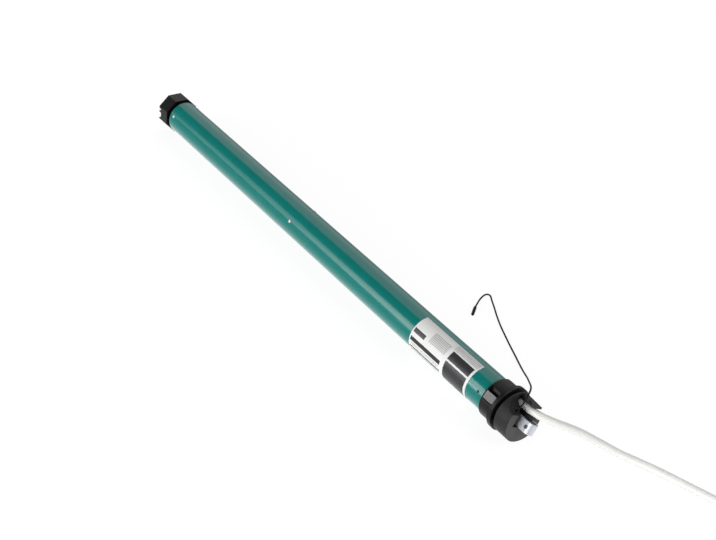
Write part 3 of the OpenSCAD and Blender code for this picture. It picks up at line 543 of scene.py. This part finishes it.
def repaint(material, mask, colour, roughness):
    """Inside a mask, a surface takes another colour and gloss."""
    tree = material.node_tree
    bsdf = tree.nodes["Principled BSDF"]
    share = mask(tree)
    for name, value in (("Base Color", colour), ("Roughness", (roughness,) * 3)):
        socket = bsdf.inputs[name]
        mix = add_node(tree, "ShaderNodeMixRGB", Color2=(*value, 1.0))
        tree.links.new(share, mix.inputs["Fac"])
        tree.links.new(socket.links[0].from_socket, mix.inputs["Color1"])
        tree.links.new(mix.outputs["Color"], socket)


# Painted highlight: the snap tabs take a lighter grey
repaint(own_looks["crown_ring"], snap_tabs, TAB_PAINTED_HIGHLIGHT, roughness=0.22)
# Painted shade: the collar and the neck take near black
repaint(own_looks["head_body"], collar, COLLAR_PAINTED_SHADE, roughness=0.90)
# Painted light: the nose's end face takes a lighter grey
repaint(own_looks["head_body"], nose_end, NOSE_END_PAINTED_LIGHT, roughness=0.55)
# Painted shade: the bracket between its legs takes a darker zinc
repaint(own_looks["mounting_bracket"], between_legs, BRACKET_PAINTED_SHADE, roughness=0.65)

# Edges: softly broken on the nodes that show most, and sharp where two faces meet at an angle
SOFT_EDGES = ("head_body", "crown_ring", "drive_wheel", "cable_plug", "mounting_bracket", "wheel_screw",
              "output_bearing")
EDGE_ROUND = 0.25 * MM
EDGE_SEGMENTS = 2
EDGE_ANGLE = math.radians(40)
SPLIT_ANGLE = math.radians(30)


def dress_nodes():
    """Gives each CAD node its material, smooth round faces and, where it shows, softly broken edges."""
    for name, node in nodes.items():
        node.data.materials.clear()
        node.data.materials.append(own_looks.get(name, looks[slot_of[name]]))
        for face in node.data.polygons:
            face.use_smooth = True
        if name in SOFT_EDGES:
            bevel = node.modifiers.new("broken_edges", "BEVEL")
            bevel.width = EDGE_ROUND
            bevel.segments = EDGE_SEGMENTS
            bevel.limit_method = "ANGLE"
            bevel.angle_limit = EDGE_ANGLE
            bevel.harden_normals = True
        sharp = node.modifiers.new("smooth_by_angle", "EDGE_SPLIT")
        sharp.split_angle = SPLIT_ANGLE


def dress_cords():
    """Gives each new piece the material of the slot that it names."""
    for piece in bpy.context.scene.objects:
        slot = piece.get("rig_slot")
        if slot:
            piece.data.materials.append(looks[slot])


dress_nodes()
dress_cords()

# Label: plain print in fields, by millimetres from the label's edge and degrees from its start
label_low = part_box("rating_label")[0]
LABEL_ANGLE = 80
PRINT_R = TUBE_R + 0.25 * MM
PRINT_STEP = 3
BLOCKS = [
    ((48.6, 77.4), (28, 56)), ((48.6, 77.2), (62, 128)), ((1.4, 16.6), (48, 62)), ((1.4, 43.4), (76, 89)),
    ((1.4, 44), (107, 113)),
]

# Groups of rules: where they run, where each starts, and how wide they are
RULES = [
    ((46.5, 78), range(5, 24, 5), 1.6),
    ((21.5, 44), range(22, 54, 5), 2.4),
    ((3, 42), (94, 99, 118, 124), 1.6),
]
ink = {
    "charcoal": surface("charcoal_ink", (0.030, 0.030, 0.033), 0.36, mottle=0.03, rough_spread=0.03),
    "pale": surface("pale_ink", (0.42, 0.42, 0.42), 0.36, mottle=0.02, rough_spread=0.03),
}


def print_patch(bm, x_span, angle_span):
    """One printed field, in bands that follow the tube."""
    columns = max(1, math.ceil((angle_span[1] - angle_span[0]) / PRINT_STEP))
    rows = []
    for n in range(columns + 1):
        a = math.radians(LABEL_ANGLE + angle_span[0] + (angle_span[1] - angle_span[0]) * n / columns)
        ring = (PRINT_R * math.cos(a), AXIS_Z + PRINT_R * math.sin(a))
        rows.append([bm.verts.new((label_low.x + x * MM, *ring)) for x in x_span])
    for low, high in zip(rows, rows[1:]):
        bm.faces.new((low[0], low[1], high[1], high[0]))


def print_fields(name, tone, fields):
    bm = bmesh.new()
    for x_span, angle_span in fields:
        print_patch(bm, x_span, angle_span)
    piece = finish_mesh(name, bm)
    piece.data.materials.append(ink[tone])
    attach(piece, "motor")
    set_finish(piece, "label_film")


print_fields("label_block", "charcoal", BLOCKS)
print_fields("label_rules", "pale", [(span, (a, a + wide)) for span, starts, wide in RULES for a in starts])

# Stage: a white floor that keeps a faint shadow and is greyer in reflections, and plain soft light
FLOOR_SIZE = 12.0
FLOOR_WHITE = 0.92
FLOOR_ROUGHNESS = 0.9
FLOOR_GLOW = 1.09
GLOSS_NEAR = 0.035
GLOSS_FAR = 0.34
SHADOW_SHARE = 0.16
SHADOW_FADES = (0.7, 1.5)
SKY_FOR_LIGHT = 0.08
WHITE = (1, 1, 1, 1)

# Lamps: place, aim, size and watts
LAMPS = {
    "key_far": ((-1.4, -1.45, 0.99), (-1.4, 0, 0.99), (1.8, 1.1), 7.0),
    "key_middle": ((-1.05, -1.48, 0.95), (-1.05, 0, 0.95), (1.1, 1.2), 5.0),
    "key_near": ((-0.9, -1.51, 0.98), (-0.9, 0, 0.98), (0.8, 1.3), 5.0),
    "bracket_panel": ((-0.6, -1.45, 0.3), (0.3, 0, 0.02), (0.5, 0.4), 2.0),
    "back_panel": ((-1.4, 0.95, 0.85), (-1.4, 0, 0), (3.6, 2.1), 19.0),
    "side_fill": ((0.3, -1.75, 0.22), (0.0, 0, 0.02), (1.0, 0.36), 21.0),
    "cable_fill": ((1.0, 0.3, 0.5), (0.42, 0.07, 0), (0.5, 0.5), 3.0),
    "nose_fill": ((1.1, -0.35, 0.40), (0.3, 0, 0.02), (0.5, 0.4), 1.5),
}


def blend(tree, share, first, second):
    """A mix of two shaders: share 0 gives the first."""
    mix = add_node(tree, "ShaderNodeMixShader")
    tree.links.new(share, mix.inputs["Fac"])
    tree.links.new(first, mix.inputs[1])
    tree.links.new(second, mix.inputs[2])
    return mix.outputs["Shader"]


def glow_share(tree):
    """How much of the floor is plain white: all of it far from the part, where no shadow falls."""
    size = add_node(tree, "ShaderNodeVectorMath", operation="LENGTH")
    tree.links.new(own_place(tree), size.inputs[0])
    fade = add_node(tree, "ShaderNodeMapRange")
    fade.inputs["From Min"].default_value, fade.inputs["From Max"].default_value = SHADOW_FADES
    fade.inputs["To Min"].default_value = 1 - SHADOW_SHARE
    fade.inputs["To Max"].default_value = 1.0
    tree.links.new(size.outputs["Value"], fade.inputs["Value"])
    return fade.outputs["Result"]


def floor_in_gloss(tree):
    """How bright the floor is in reflections: less with distance from the tube, down to an even grey."""
    near = calculate(tree, "DIVIDE", GLOSS_NEAR, from_axis(tree))
    return calculate(tree, "MAXIMUM", near, GLOSS_FAR)


def make_floor():
    bm = bmesh.new()
    half = FLOOR_SIZE / 2
    corners = ((-half, -half), (half, -half), (half, half), (-half, half))
    bm.faces.new([bm.verts.new((x, y, 0)) for x, y in corners])
    floor = finish_mesh("floor", bm, smooth_faces=False)
    material, tree, bsdf = new_material("floor_white")
    bsdf.inputs["Base Color"].default_value = (FLOOR_WHITE, FLOOR_WHITE, FLOOR_WHITE, 1.0)
    bsdf.inputs["Roughness"].default_value = FLOOR_ROUGHNESS
    bsdf.inputs["Specular IOR Level"].default_value = 0.0
    path = add_node(tree, "ShaderNodeLightPath")
    share = calculate(tree, "MULTIPLY", path.outputs["Is Camera Ray"], glow_share(tree))
    glow = add_node(tree, "ShaderNodeEmission", Color=WHITE, Strength=FLOOR_GLOW)
    dim = add_node(tree, "ShaderNodeEmission", Color=WHITE)
    tree.links.new(floor_in_gloss(tree), dim.inputs["Strength"])
    seen = blend(tree, share, bsdf.outputs["BSDF"], glow.outputs["Emission"])
    whole = blend(tree, path.outputs["Is Glossy Ray"], seen, dim.outputs["Emission"])
    tree.links.new(whole, tree.nodes["Material Output"].inputs["Surface"])
    floor.data.materials.append(material)


def make_world():
    world = bpy.data.worlds.new("studio")
    bpy.context.scene.world = world
    world.use_nodes = True
    tree = world.node_tree
    path = add_node(tree, "ShaderNodeLightPath")
    light = tree.nodes["Background"]
    light.inputs["Color"].default_value = WHITE
    light.inputs["Strength"].default_value = SKY_FOR_LIGHT
    seen = add_node(tree, "ShaderNodeBackground", Color=WHITE, Strength=1.0)
    whole = blend(tree, path.outputs["Is Camera Ray"], light.outputs["Background"],
                  seen.outputs["Background"])
    tree.links.new(whole, tree.nodes["World Output"].inputs["Surface"])


def area_light(name, place, aim, size, power):
    data = bpy.data.lights.new(name, "AREA")
    data.shape = "RECTANGLE"
    data.size, data.size_y = size
    data.energy = power
    lamp = add_object(name, data)
    point_at(lamp, place, aim)
    lamp.visible_camera = False


make_floor()
make_world()
for lamp_name, lamp_values in LAMPS.items():
    area_light(lamp_name, *lamp_values)

bpy.context.scene.view_settings.view_transform = "Standard"
